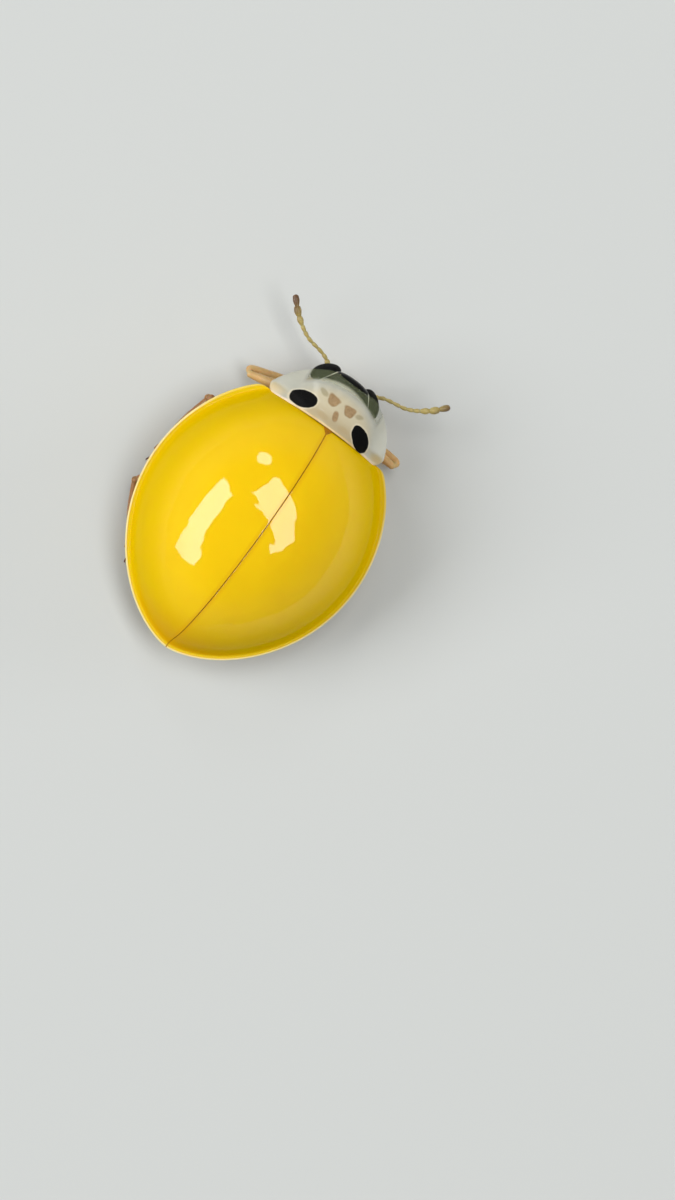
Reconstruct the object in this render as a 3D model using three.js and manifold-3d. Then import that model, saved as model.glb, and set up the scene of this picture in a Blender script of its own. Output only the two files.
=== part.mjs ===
// A plain yellow ladybird that eats mildew, life size, standing still on its six feet.
//
// Millimetres. +Y is forward, +X is the animal's right, +Z is up and the floor is z = 0.
// Places along the body are measured from where the elytra are widest. The last lines
// move the whole animal so that its origin is at the middle of its footprint.

import * as THREE from 'three';
import Module from 'manifold-3d';

const wasm = await Module();
wasm.setup();

// ---- Driving dimensions --------------------------------------------------------------

const GAP = 0.02; // clearance between neighbouring pieces

// The two elytra, the hard wing covers that meet along the suture.
const ELYTRA_HALF_WIDTH = 1.91;
const ELYTRA_BEHIND = 2.41; // widest place to the tail
const ELYTRA_AHEAD = 2.17; // widest place to where the outline would close in front
const ELYTRA_FRONT = 1.75; // their front edge
const ELYTRA_WALL = 0.5;
const RIM_UNDERSIDE = 0.66; // height of the rim above the floor
const RIM_THICKNESS = 0.1;
const RIM_WIDTH = 0.12; // the flat border round the dome
const CROWN_HEIGHT = 2.26; // top of the dome above the floor
const TAIL_TAPER = 1.2; // 1 is a round tail, and more is a narrower one
const DOME_SHOULDER = 2.2; // the dome's section: (1 - u^shoulder)^fall
const DOME_FALL = 0.62;
const SCUTELLUM_HALF_WIDTH = 0.13;
const SCUTELLUM_LENGTH = 0.17;

// Thorax and abdomen, under the elytra.
const BELLY_DEPTH = 0.1; // how far the underside bulges below the rim
const WAIST = -0.3; // where the thorax ends and the abdomen begins

// The pronotum, the shield over the front of the thorax and the back of the head.
const PRONOTUM_HALF_WIDTH = 1.08;
const PRONOTUM_CORNER = 1.85; // place of its hind corners
const PRONOTUM_AHEAD = 0.68; // from its hind corners to its front edge
const PRONOTUM_BEHIND = 0.08; // from its hind corners to its hind edge
const PRONOTUM_SIDE_POWER = 2.6;
const PRONOTUM_FRONT_POWER = 1.1;
const PRONOTUM_CORNER_ROUNDING = 0.1; // how far its hind corners draw in
const PRONOTUM_RIDGE = [1.47, 1.24]; // height of its middle line, behind and in front
const PRONOTUM_EDGE = [0.8, 1.22]; // height of its border, behind and in front
const PRONOTUM_THICK = 0.3;
const PRONOTUM_EDGE_THICK = 0.1;

// The head, bent down under the pronotum's front edge.
const EYE_CENTRE = new THREE.Vector3(0.415, 2.41, 0.86);
const EYE_RADII = new THREE.Vector3(0.14, 0.25, 0.22);
const EYE_TURN = Math.PI / 4; // each eye wraps round a corner of the head

// Legs. Places are on the animal's right, from coxa to claws, and the left mirrors them.
const COXA_RADIUS = 0.19;
const FEMUR_RADIUS = 0.2;
const TIBIA_RADIUS = 0.16;
const TARSUS_HALF_WIDTH = 0.15;
const TARSUS_HEIGHT = 0.26;
const HEEL = 0.1; // how far the tarsus reaches back into the end of the tibia
const LEGS = {
  front: {
    coxa: [0.27, 2.0, 0.58],
    root: [0.3, 1.99, 0.47],
    knee: [1.4, 1.8, 0.47],
    bend: [1.36, 1.86, 0.32],
    ankle: [0.76, 2.06, 0.16],
    tip: [0.4, 2.34, 0],
  },
  middle: {
    coxa: [0.42, 0.85, 0.58],
    root: [0.45, 0.87, 0.42],
    knee: [1.68, 1.07, 0.42],
    bend: [1.62, 1.08, 0.36],
    ankle: [1.77, 0.26, 0.16],
    tip: [1.8, -0.26, 0],
  },
  hind: {
    coxa: [0.5, 0.02, 0.58],
    root: [0.52, 0.0, 0.42],
    knee: [1.74, -0.4, 0.42],
    bend: [1.66, -0.38, 0.36],
    ankle: [1.4, -1.24, 0.16],
    tip: [1.16, -1.74, 0],
  },
};

// Antennae, with a slender shaft and a club of three joints.
const ANTENNA_PATH = [
  [0.36, 2.55, 0.7],
  [0.58, 2.63, 0.72],
  [0.95, 2.7, 0.76],
  [1.26, 2.87, 0.76],
  [1.49, 3.09, 0.72],
];
const ANTENNA_RADIUS = 0.09;
const CLUB_RADIUS = 0.12;
const CLUB_START = 0.7; // share of the antenna's length

// ---- Finishes ------------------------------------------------------------------------

const finish = (color, roughness) => new THREE.MeshStandardMaterial({ color, roughness, metalness: 0 });
const YELLOW_SHELL = finish(0xecc80a, 0.15);
const AMBER_SHELL = finish(0xb4781e, 0.35);
const MILKY_SHELL = finish(0xd8d4c4, 0.25);
const PALE_FACE = finish(0xcfc6a8, 0.35);
const BLACK_EYE = finish(0x0a0a0c, 0.2);
const TAN_UNDERSIDE = finish(0xc08a4a, 0.45);
const TAN_LEG = finish(0xcf9a5c, 0.4);
const OLIVE_FEELER = finish(0xa39440, 0.4);

// ---- Ways of making solids -------------------------------------------------------------

const point = (place) => new THREE.Vector3(...place);
const mirrored = (place, side) => new THREE.Vector3(side * place[0], place[1], place[2]);
const mix = THREE.MathUtils.lerp;

// A power of a sine or cosine that keeps its sign.
const signedPower = (value, power) => Math.sign(value) * Math.abs(value) ** power;

// A closed body through rings of points, with a single point closing each end.
function loft(first, rings, last) {
  const sides = rings[0].length;
  const points = [first, ...rings.flat(), last];
  const end = points.length - 1;
  const faces = [];
  for (let i = 0; i < sides; i += 1) {
    const next = (i + 1) % sides;
    faces.push(0, 1 + next, 1 + i);
    for (let ring = 0; ring < rings.length - 1; ring += 1) {
      const low = 1 + ring * sides;
      const high = low + sides;
      faces.push(low + i, low + next, high + next);
      faces.push(low + i, high + next, high + i);
    }
    const top = end - sides;
    faces.push(end, top + i, top + next);
  }
  return solidFrom(points, faces);
}

// A plate between two faces. Each row is a list of pairs: an upper and a lower point.
function plate(rows) {
  const [depth, width] = [rows.length, rows[0].length];
  const faces = [];
  const upper = (row, column) => 2 * (row * width + column);
  const lower = (row, column) => upper(row, column) + 1;
  const quad = (a, b, c, d) => faces.push(a, b, c, a, c, d);
  for (let row = 0; row < depth - 1; row += 1) {
    for (let column = 0; column < width - 1; column += 1) {
      const [r, c] = [row + 1, column + 1];
      quad(upper(row, column), upper(row, c), upper(r, c), upper(r, column));
      quad(lower(row, column), lower(r, column), lower(r, c), lower(row, c));
    }
    const end = width - 1;
    quad(upper(row, 0), upper(row + 1, 0), lower(row + 1, 0), lower(row, 0));
    quad(upper(row + 1, end), upper(row, end), lower(row, end), lower(row + 1, end));
  }
  for (let column = 0; column < width - 1; column += 1) {
    const [c, end] = [column + 1, depth - 1];
    quad(upper(0, column), lower(0, column), lower(0, c), upper(0, c));
    quad(upper(end, c), lower(end, c), lower(end, column), upper(end, column));
  }
  return solidFrom(rows.flat(2), faces);
}

// A manifold solid from points and triangles, turned so that its faces point outwards.
function solidFrom(points, faces) {
  let volume = 0;
  const normal = new THREE.Vector3();
  for (let i = 0; i < faces.length; i += 3) {
    const [a, b, c] = [points[faces[i]], points[faces[i + 1]], points[faces[i + 2]]];
    volume += a.dot(normal.crossVectors(b, c));
  }
  const triVerts = Uint32Array.from(volume < 0 ? faces.toReversed() : faces);
  const vertProperties = Float32Array.from(points.flatMap((place) => place.toArray()));
  return new wasm.Manifold(new wasm.Mesh({ numProp: 3, vertProperties, triVerts }));
}

// A block between two corners, for straight cuts.
function block(low, high) {
  const [a, b] = [point(low), point(high)];
  const corner = (x, y, z) => new THREE.Vector3(x ? b.x : a.x, y ? b.y : a.y, z ? b.z : a.z);
  const ring = (z) => [corner(0, 0, z), corner(1, 0, z), corner(1, 1, z), corner(0, 1, z)];
  const middle = (z) => new THREE.Vector3((a.x + b.x) / 2, (a.y + b.y) / 2, z);
  return loft(middle(a.z), [ring(0), ring(1)], middle(b.z));
}

const END_ROUNDING = 0.1; // rise of a lump's end over its half width

// A ball stretched to three radii, turned about the vertical and set in place.
function ball(centre, radii, turn, sides, grow = 0) {
  const place = (up, around) => {
    const spot = new THREE.Vector3(
      (radii.x + grow) * Math.cos(up) * Math.cos(around),
      (radii.y + grow) * Math.cos(up) * Math.sin(around),
      (radii.z + grow) * Math.sin(up),
    );
    return spot.applyAxisAngle(new THREE.Vector3(0, 0, 1), turn).add(centre);
  };
  const layers = Math.round(sides / 2);
  const rings = [];
  for (let layer = 1; layer < layers; layer += 1) {
    const up = -Math.PI / 2 + (Math.PI * layer) / layers;
    rings.push(Array.from({ length: sides }, (_, i) => place(up, (2 * Math.PI * i) / sides)));
  }
  return loft(place(-Math.PI / 2, 0), rings, place(Math.PI / 2, 0));
}

// A rounded lump from level sections, each its height, half width, hind face and front face.
// A squareness of 1 makes the sections oval, and a smaller one makes them boxy.
function lumpFrom(sections, sides, squareness, grow = 0) {
  const ring = ([height, halfWidth, hind, front]) =>
    Array.from({ length: sides }, (_, i) => {
      const angle = (2 * Math.PI * (i + 0.5)) / sides;
      const x = (halfWidth + grow) * signedPower(Math.cos(angle), squareness);
      const reach = ((front - hind) / 2 + grow) * signedPower(Math.sin(angle), squareness);
      return new THREE.Vector3(x, (hind + front) / 2 + reach, height);
    });
  const cap = ([height, halfWidth, hind, front], rise) =>
    new THREE.Vector3(0, (hind + front) / 2, height + rise * (END_ROUNDING * halfWidth + grow));
  return loft(cap(sections[0], -1), sections.map(ring), cap(sections.at(-1), 1));
}

// A limb along a curve: oval rings square to it, with radius(t) as its half thickness and
// flatness as its height over its width.
function limb(curve, radius, { sides, stations, flatness = 1, grow = 0 }) {
  const up = new THREE.Vector3(0, 0, 1);
  const rings = [];
  for (let i = 1; i < stations; i += 1) {
    const t = (1 - Math.cos((Math.PI * i) / stations)) / 2;
    const ahead = curve.getTangentAt(t);
    const across = new THREE.Vector3().crossVectors(ahead, up).normalize();
    const above = new THREE.Vector3().crossVectors(across, ahead);
    const centre = curve.getPointAt(t);
    rings.push(
      Array.from({ length: sides }, (_, k) => {
        const angle = (2 * Math.PI * (k + 0.5)) / sides;
        const wide = (radius(t) + grow) * Math.cos(angle);
        const high = (radius(t) * flatness + grow) * Math.sin(angle);
        return centre.clone().addScaledVector(across, wide).addScaledVector(above, high);
      }),
    );
  }
  const first = curve.getPointAt(0).addScaledVector(curve.getTangentAt(0), -grow);
  const last = curve.getPointAt(1).addScaledVector(curve.getTangentAt(1), grow);
  return loft(first, rings, last);
}

// The half thickness of a limb joint, with blunt round ends. Its far end is thinner by the taper.
const spindle = (thick, taper) => (t) => thick * mix(1, taper, t) * (1 - Math.abs(2 * t - 1) ** 7) ** 0.5;

const cut = (solid, ...tools) => tools.reduce((rest, tool) => rest.subtract(tool), solid);

const group = new THREE.Group();

// Adds a finished solid to the animal as a named mesh.
function add(name, solid, material) {
  const { vertProperties, triVerts } = solid.getMesh();
  const geometry = new THREE.BufferGeometry();
  geometry.setAttribute('position', new THREE.BufferAttribute(Float32Array.from(vertProperties), 3));
  geometry.setIndex(new THREE.BufferAttribute(Uint32Array.from(triVerts), 1));
  geometry.computeVertexNormals();
  const mesh = new THREE.Mesh(geometry, material);
  mesh.name = name;
  group.add(mesh);
}

// ---- Elytra ----------------------------------------------------------------------------

const FAR = 9; // beyond every part of the animal

// A point of the elytra's outline. The inset draws in the sides and the tail but not the
// front, which is cut off straight.
function elytraOutline(angle, inset) {
  const forward = Math.sin(angle);
  const taper = forward < 0 ? TAIL_TAPER : 1;
  const reach = forward < 0 ? ELYTRA_BEHIND - inset : ELYTRA_AHEAD;
  return new THREE.Vector2(
    (ELYTRA_HALF_WIDTH - inset) * signedPower(Math.cos(angle), taper),
    reach * forward,
  );
}

const GUTTER = RIM_UNDERSIDE + RIM_THICKNESS * 0.9;

// The dome of the elytra as one solid, drawn in by an inset on the sides and the top.
// Each lower ring is a share of the outline and its height, from the middle outwards.
function dome(inset, lowerRings, lowest, sides, layers) {
  const ring = (share, height, edge) =>
    Array.from({ length: sides }, (_, i) => {
      const place = elytraOutline((2 * Math.PI * (i + 0.5)) / sides, edge).multiplyScalar(share);
      return new THREE.Vector3(place.x, place.y, height);
    });
  const rise = CROWN_HEIGHT - GUTTER - inset;
  const foot = Math.max(inset, RIM_WIDTH);
  const rings = lowerRings.map(([share, height]) => ring(share, height, inset));
  for (let layer = layers; layer > 0; layer -= 1) {
    const share = Math.sin((Math.PI / 2) * (layer / layers));
    const height = GUTTER + rise * (1 - share ** DOME_SHOULDER) ** DOME_FALL;
    rings.push(ring(share, height, foot));
  }
  return loft(new THREE.Vector3(0, 0, lowest), rings, new THREE.Vector3(0, 0, GUTTER + rise));
}

const BEHIND_PRONOTUM = block([-FAR, -FAR, -FAR], [FAR, ELYTRA_FRONT, FAR]);

const rimRings = [
  [1, RIM_UNDERSIDE],
  [1, RIM_UNDERSIDE + RIM_THICKNESS],
];
const hollow = dome(ELYTRA_WALL, [[1, -FAR]], -FAR, 36, 6);
const shell = dome(0, rimRings, RIM_UNDERSIDE, 56, 10).subtract(hollow).intersect(BEHIND_PRONOTUM);

// The scutellum is the small triangle where the two elytra meet the pronotum.
function scutellumWedge(grow) {
  const triangle = (height) => [
    new THREE.Vector3(-SCUTELLUM_HALF_WIDTH - grow, ELYTRA_FRONT + grow, height),
    new THREE.Vector3(0, ELYTRA_FRONT - SCUTELLUM_LENGTH - grow * 2, height),
    new THREE.Vector3(SCUTELLUM_HALF_WIDTH + grow, ELYTRA_FRONT + grow, height),
  ];
  const middle = (height) => new THREE.Vector3(0, ELYTRA_FRONT - SCUTELLUM_LENGTH / 3, height);
  return loft(middle(1), [triangle(1), triangle(FAR)], middle(FAR));
}

add('scutellum', shell.intersect(scutellumWedge(0)), AMBER_SHELL);

for (const [side, name] of [[-1, 'left'], [1, 'right']]) {
  const near = (side * GAP) / 2;
  const half = block([Math.min(near, side * FAR), -FAR, -FAR], [Math.max(near, side * FAR), FAR, FAR]);
  add(`elytron_${name}`, shell.intersect(half).subtract(scutellumWedge(GAP)), YELLOW_SHELL);
}

// ---- Legs --------------------------------------------------------------------------------

const coxaSolid = (leg, side, grow) =>
  ball(mirrored(leg.coxa, side), new THREE.Vector3(1.2, 1, 1).multiplyScalar(COXA_RADIUS), 0, 10, grow);

const straight = (from, to, side) => new THREE.LineCurve3(mirrored(from, side), mirrored(to, side));

const femurSolid = (leg, side, grow) =>
  limb(straight(leg.root, leg.knee, side), spindle(FEMUR_RADIUS, 0.85), { sides: 8, stations: 7, grow });

const tibiaSolid = (leg, side, grow) =>
  limb(straight(leg.bend, leg.ankle, side), spindle(TIBIA_RADIUS, 0.9), { sides: 8, stations: 5, grow });

// The tarsus is a low foot that stands on a flat of its own.
function tarsusSolid(leg, side) {
  const height = TARSUS_HEIGHT / 2;
  const ankle = new THREE.Vector3(leg.ankle[0], leg.ankle[1], height);
  const toe = new THREE.Vector3(leg.tip[0], leg.tip[1], height * 0.8);
  const heel = ankle.add(ankle.clone().sub(toe).setLength(HEEL));
  const path = straight(heel.toArray(), toe.toArray(), side);
  const foot = limb(path, spindle(TARSUS_HALF_WIDTH, 0.85), {
    sides: 10,
    stations: 6,
    flatness: (height + GAP) / TARSUS_HALF_WIDTH,
  });
  return foot.intersect(block([-FAR, -FAR, 0], [FAR, FAR, FAR]));
}

// ---- Thorax and abdomen ------------------------------------------------------------------

const bellyRings = [0.3, 0.6, 0.85, 1].map((share) => [share, RIM_UNDERSIDE - BELLY_DEPTH * (1 - share ** 2)]);
const core = dome(ELYTRA_WALL + GAP, bellyRings, RIM_UNDERSIDE - BELLY_DEPTH, 36, 6);
const sides = [-1, 1];
const coxaSockets = Object.values(LEGS).flatMap((leg) => sides.map((side) => coxaSolid(leg, side, GAP)));

const slice = (from, to) => block([-FAR, from, -FAR], [FAR, to, FAR]);
add('thorax', cut(core.intersect(slice(WAIST + GAP, ELYTRA_FRONT - GAP)), ...coxaSockets), TAN_UNDERSIDE);
add('abdomen', core.intersect(slice(-FAR, WAIST)), TAN_UNDERSIDE);

// ---- Pronotum -----------------------------------------------------------------------------

const PRONOTUM_FRONT = PRONOTUM_CORNER + PRONOTUM_AHEAD;
const PRONOTUM_HIND = PRONOTUM_CORNER - PRONOTUM_BEHIND;
const PRONOTUM_LAST_ROW = 0.985; // its straight front edge, short of where the sides would meet

// Half width of the shield, which stays full behind its hind corners.
function pronotumHalfWidth(y) {
  const share = Math.max(y - PRONOTUM_CORNER, 0) / PRONOTUM_AHEAD;
  return PRONOTUM_HALF_WIDTH * Math.max(1 - share ** PRONOTUM_FRONT_POWER, 0) ** (1 / PRONOTUM_SIDE_POWER);
}

// Height of the pronotum's upper face: arched from side to side, and falling forwards.
function pronotumHeight(across, along) {
  const ridge = mix(...PRONOTUM_RIDGE, along ** 1.5);
  const edge = mix(...PRONOTUM_EDGE, along);
  return edge + (ridge - edge) * (1 - Math.abs(across) ** 2.2) ** 0.8;
}

// The pronotum, or with a lid the space that it and everything above it takes up.
function pronotumSolid(grow, lid) {
  const rows = 9;
  const columns = 14;
  const row = (_, i) => {
    const along = PRONOTUM_LAST_ROW * Math.sin((Math.PI / 2) * (i / (rows - 1))) ** 1.3;
    const y = mix(PRONOTUM_HIND, PRONOTUM_FRONT, along);
    const behind = Math.max(PRONOTUM_CORNER - y, 0) / PRONOTUM_BEHIND;
    const halfWidth = pronotumHalfWidth(y) - PRONOTUM_CORNER_ROUNDING * behind ** 2;
    return Array.from({ length: columns + 1 }, (unused, k) => {
      const across = Math.sin((Math.PI / 2) * ((2 * k) / columns - 1));
      const upper = pronotumHeight(across, along);
      const thick = mix(PRONOTUM_THICK, PRONOTUM_EDGE_THICK, Math.max(Math.abs(across), along) ** 2);
      const [x, lower] = [across * halfWidth, upper - thick - grow];
      return [new THREE.Vector3(x, y, lid ?? upper), new THREE.Vector3(x, y, lower)];
    });
  };
  return plate(Array.from({ length: rows }, row));
}

add('pronotum', pronotumSolid(0), MILKY_SHELL);

// ---- Head ------------------------------------------------------------------------------

// Level sections of the head, from the mouth up to the crown:
// height, half width, hind face and front face.
const HEAD_SECTIONS = [
  [0.44, 0.2, 2.24, 2.46],
  [0.52, 0.3, 2.14, 2.53],
  [0.66, 0.42, 2.06, 2.58],
  [0.82, 0.5, 2.02, 2.59],
  [0.94, 0.5, 2.02, 2.57],
  [1.03, 0.42, 2.04, 2.52],
  [1.08, 0.27, 2.1, 2.44],
];

const headSolid = (grow) => lumpFrom(HEAD_SECTIONS, 24, 0.85, grow);

const eyeSolid = (side, grow) => {
  const centre = mirrored(EYE_CENTRE.toArray(), side);
  return ball(centre, EYE_RADII, side * EYE_TURN, 16, grow);
};

const pronotumSpace = pronotumSolid(GAP, FAR);
const eyeSockets = sides.map((side) => eyeSolid(side, GAP));
add('head', cut(headSolid(0), pronotumSpace, ...eyeSockets), PALE_FACE);

for (const [side, name] of [[-1, 'left'], [1, 'right']]) {
  add(`eye_${name}`, cut(eyeSolid(side, 0), pronotumSpace), BLACK_EYE);

  const feelerCurve = new THREE.CatmullRomCurve3(ANTENNA_PATH.map((place) => mirrored(place, side)));
  const feelerRadius = (t) => {
    const club = THREE.MathUtils.smoothstep(t, CLUB_START - 0.08, CLUB_START + 0.08);
    return mix(ANTENNA_RADIUS, CLUB_RADIUS, club) * (1 - t ** 12) ** 0.5;
  };
  const feeler = limb(feelerCurve, feelerRadius, { sides: 8, stations: 18 });
  add(`antenna_${name}`, cut(feeler, headSolid(GAP), eyeSolid(side, GAP)), OLIVE_FEELER);
}

// The labrum is the upper lip, a small plate under the face.
const LABRUM_SECTIONS = [
  [0.36, 0.1, 2.38, 2.46],
  [0.42, 0.15, 2.36, 2.5],
  [0.5, 0.16, 2.38, 2.54],
];
add('labrum', cut(lumpFrom(LABRUM_SECTIONS, 12, 0.8), headSolid(GAP)), PALE_FACE);

// The palps are the mouth's two short feelers, each with a wide end.
const PALP_PATH = [
  [0.1, 2.36, 0.44],
  [0.24, 2.44, 0.39],
  [0.36, 2.52, 0.34],
];
const palpRadius = (t) => mix(0.06, 0.09, t) * (1 - Math.abs(2 * t - 1) ** 7) ** 0.5;
for (const [side, name] of [[-1, 'left'], [1, 'right']]) {
  const palpCurve = new THREE.CatmullRomCurve3(PALP_PATH.map((place) => mirrored(place, side)));
  const palp = limb(palpCurve, palpRadius, { sides: 8, stations: 6 });
  add(`palp_${name}`, cut(palp, headSolid(GAP), lumpFrom(LABRUM_SECTIONS, 12, 0.8, GAP)), OLIVE_FEELER);
}

// ---- Prothorax, the front of the thorax, which carries the head and the forelegs --------

const PROTHORAX_HIND = ELYTRA_FRONT + GAP / 2;
const PROTHORAX_SECTIONS = [
  [0.6, 0.42, PROTHORAX_HIND, 2.16],
  [0.68, 0.62, PROTHORAX_HIND, 2.2],
  [0.82, 0.72, PROTHORAX_HIND, 2.22],
  [1.3, 0.6, PROTHORAX_HIND, 2.22],
];
const foreCoxae = sides.map((side) => coxaSolid(LEGS.front, side, GAP));
add(
  'prothorax',
  cut(lumpFrom(PROTHORAX_SECTIONS, 16, 0.6), pronotumSpace, headSolid(GAP), ...eyeSockets, ...foreCoxae),
  TAN_UNDERSIDE,
);

// ---- The six legs --------------------------------------------------------------------------

for (const [row, leg] of Object.entries(LEGS)) {
  for (const [side, name] of [[-1, 'left'], [1, 'right']]) {
    const stem = `leg_${row}_${name}`;
    add(`${stem}_coxa`, coxaSolid(leg, side, 0), TAN_LEG);
    add(`${stem}_femur`, cut(femurSolid(leg, side, 0), coxaSolid(leg, side, GAP), core), TAN_LEG);
    add(`${stem}_tibia`, cut(tibiaSolid(leg, side, 0), femurSolid(leg, side, GAP)), TAN_LEG);
    add(`${stem}_tarsus`, cut(tarsusSolid(leg, side), tibiaSolid(leg, side, GAP)), TAN_LEG);
  }
}

// ---- Origin at the middle of the footprint ---------------------------------------------------

const size = new THREE.Box3().setFromObject(group);
const middle = size.getCenter(new THREE.Vector3());
group.position.set(-middle.x, -middle.y, -size.min.z);
group.updateMatrixWorld(true);

export default group;
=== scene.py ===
import math

import bpy
import numpy as np
from mathutils import Matrix, Vector, noise


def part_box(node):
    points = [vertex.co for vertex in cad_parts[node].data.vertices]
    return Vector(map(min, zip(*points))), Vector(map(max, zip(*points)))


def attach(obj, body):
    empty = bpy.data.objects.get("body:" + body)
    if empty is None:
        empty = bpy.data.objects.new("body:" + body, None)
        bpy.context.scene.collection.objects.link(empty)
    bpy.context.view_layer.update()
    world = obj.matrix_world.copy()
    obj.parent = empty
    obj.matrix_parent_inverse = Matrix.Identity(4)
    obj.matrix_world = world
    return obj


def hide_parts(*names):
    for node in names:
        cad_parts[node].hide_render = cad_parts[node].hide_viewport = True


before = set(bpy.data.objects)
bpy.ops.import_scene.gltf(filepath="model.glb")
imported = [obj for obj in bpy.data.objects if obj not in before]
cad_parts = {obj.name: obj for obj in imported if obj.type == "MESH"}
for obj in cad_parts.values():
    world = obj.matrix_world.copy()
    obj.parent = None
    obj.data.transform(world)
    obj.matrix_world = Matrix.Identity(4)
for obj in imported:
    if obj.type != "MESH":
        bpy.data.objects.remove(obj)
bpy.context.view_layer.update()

# ---------------------------------------------------------------------------
# The view. The ladybird is seen from almost straight above, a little from its
# left, with its head towards the upper right, in a tall frame far wider than it.
# ---------------------------------------------------------------------------
MM = 0.001
SHIELD_AHEAD = 1.77  # from the wing cases' widest place to the solid shield's hind edge
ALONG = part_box("pronotum")[0].y / MM - SHIELD_AHEAD  # y of the wing cases' widest place
LEAN = math.radians(9)
HEADING = math.radians(35.9)
LENS_TO_TARGET = 51.7
VIEW_TARGET = (1.765, -0.282, 0.7)

camera_data = bpy.data.cameras.new("camera")
camera_data.lens = 100
camera_data.sensor_width = 36
camera_data.clip_start, camera_data.clip_end = 1 * MM, 10
camera = bpy.data.objects.new("camera", camera_data)
towards = Vector((-math.sin(LEAN), 0, math.cos(LEAN)))
upwards = Vector((-math.sin(HEADING), math.cos(HEADING), 0))
upwards = (upwards - towards * upwards.dot(towards)).normalized()
target = Vector((VIEW_TARGET[0], VIEW_TARGET[1] + ALONG, VIEW_TARGET[2]))
camera.matrix_world = Matrix.Translation((target + towards * LENS_TO_TARGET) * MM) @ (
    Matrix((upwards.cross(towards), upwards, towards)).transposed().to_4x4()
)
bpy.context.scene.collection.objects.link(camera)
bpy.context.scene.camera = camera
bpy.context.scene.view_settings.view_transform = "Standard"


# ---------------------------------------------------------------------------
# The studio. A broad soft light nearly overhead, a long one low on the left, a small
# round lamp ahead of it, a low fill on the right that leaves no reflection, and a pale
# floor under a soft grey surround that is lightest low down and on the left.
# ---------------------------------------------------------------------------
LIGHT_DISTANCE = 300  # in millimetres, as every length here is before it meets MM


def soft_light(name, start, end, width, watts, tint, shape="RECTANGLE"):
    """A flat studio light from one end to the other, as seen from the ladybird, facing it."""
    lamp = bpy.data.lights.new(name, "AREA")
    lamp.shape, lamp.energy, lamp.color = shape, watts, tint
    start, end = (Vector(way).normalized() * LIGHT_DISTANCE for way in (start, end))
    lamp.size, lamp.size_y = (end - start).length * MM, width * MM
    away, long = (start + end).normalized(), (end - start).normalized()
    turned = Matrix((long, away.cross(long), away)).transposed().to_4x4()
    light = bpy.data.objects.new(name, lamp)
    light.matrix_world = Matrix.Translation(((start + end) / 2 + Vector((0, 0, 2))) * MM) @ turned
    bpy.context.scene.collection.objects.link(light)
    return light


soft_light("window_above", (-0.3, 0.4, 0.88), (0.53, -0.06, 0.84), 94, 0.43, (0.98, 0.99, 1))
soft_light("window_left", (-0.7, 0.14, 0.7), (-0.6, -0.74, 0.36), 113, 0.59, (0.95, 0.97, 1))
soft_light("lamp_left", (-0.45, 0.57, 0.7), (-0.58, 0.64, 0.51), 39, 0.037, (0.95, 0.98, 1), "ELLIPSE")
fill = soft_light("fill_right", (0.8, 0.42, 0.26), (0.5, 0.78, 0.26), 60, 0.14, (1, 1, 1))
fill.visible_glossy = False


def colour(red, green, blue):
    """A screen colour, 0 to 255, as the linear one that a shader takes."""
    shares = [c / 255 for c in (red, green, blue)]
    return [c / 12.92 if c < 0.04 else ((c + 0.055) / 1.055) ** 2.4 for c in shares] + [1]


class Wire:
    """One value of a material. Arithmetic on wires adds the nodes that work it out."""

    def __init__(self, socket):
        self.socket = socket

    def node(self, kind, settings, values, out=0):
        """Adds a node: its settings first, then numbers or wires for its sockets."""
        made = self.socket.id_data.nodes.new(kind)
        for name, value in settings.items():
            setattr(made, name, value)
        for key, value in values.items():
            if isinstance(value, Wire):
                self.socket.id_data.links.new(value.socket, made.inputs[key])
            else:
                made.inputs[key].default_value = value
        return Wire(made.outputs[out])

    def math(self, operation, *values):
        """One step of arithmetic on numbers or wires."""
        settings = {"operation": operation}
        return self.node("ShaderNodeMath", settings, dict(enumerate(values)))

    def __add__(self, other):
        return self.math("ADD", self, other)

    def __sub__(self, other):
        return self.math("SUBTRACT", self, other)

    def __mul__(self, other):
        return self.math("MULTIPLY", self, other)

    def __truediv__(self, other):
        return self.math("DIVIDE", self, other)

    def __pow__(self, other):
        return self.math("POWER", self, other)

    def __rsub__(self, other):
        return self.math("SUBTRACT", other, self)

    __radd__, __rmul__ = __add__, __mul__

    def __abs__(self):
        return self.math("ABSOLUTE", self)

    def least(self, other):
        return self.math("MINIMUM", self, other)

    def most(self, other):
        return self.math("MAXIMUM", self, other)

    def step(self, start, end):
        """0 before start, 1 past end, and smooth between them, whichever is larger."""
        settings = {"interpolation_type": "SMOOTHSTEP"}
        if start > end:
            return 1 - self.step(end, start)
        return self.node("ShaderNodeMapRange", settings, {0: self, 1: start, 2: end})

    def part(self, axis):
        """One part of a place, in millimetres."""
        return self.node("ShaderNodeSeparateXYZ", {}, {0: self}, axis) * (1 / MM)

    def noise(self, size, detail=2.0):
        """Soft noise about 0 whose blotches are that many millimetres across."""
        values = {"Vector": self, "Scale": 1 / (size * MM), "Detail": detail}
        return self.node("ShaderNodeTexNoise", {}, values) - 0.5

    def cells(self, size):
        """The distance from the middle of the nearest of many cells that size in millimetres."""
        return self.node("ShaderNodeTexVoronoi", {}, {"Vector": self, "Scale": 1 / (size * MM)})

    def tint(self, low, high):
        """The colour low where this wire is 0 and high where it is 1."""
        settings = {"data_type": "RGBA"}
        return self.node("ShaderNodeMix", settings, {0: self, 6: low, 7: high}, 2)

    def bump(self, depth, under=None):
        """A normal from this wire's height, where 1 stands depth millimetres proud."""
        values = {"Height": self, "Distance": depth * MM}
        if under is not None:
            values["Normal"] = under
        return self.node("ShaderNodeBump", {}, values)


def finish_named(name):
    """A new empty material, and the wire of its Object coordinates."""
    material = bpy.data.materials.new(name)
    material.use_nodes = True
    material.node_tree.nodes.clear()
    coordinates = material.node_tree.nodes.new("ShaderNodeTexCoord")
    return material, Wire(coordinates.outputs["Object"])


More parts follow.
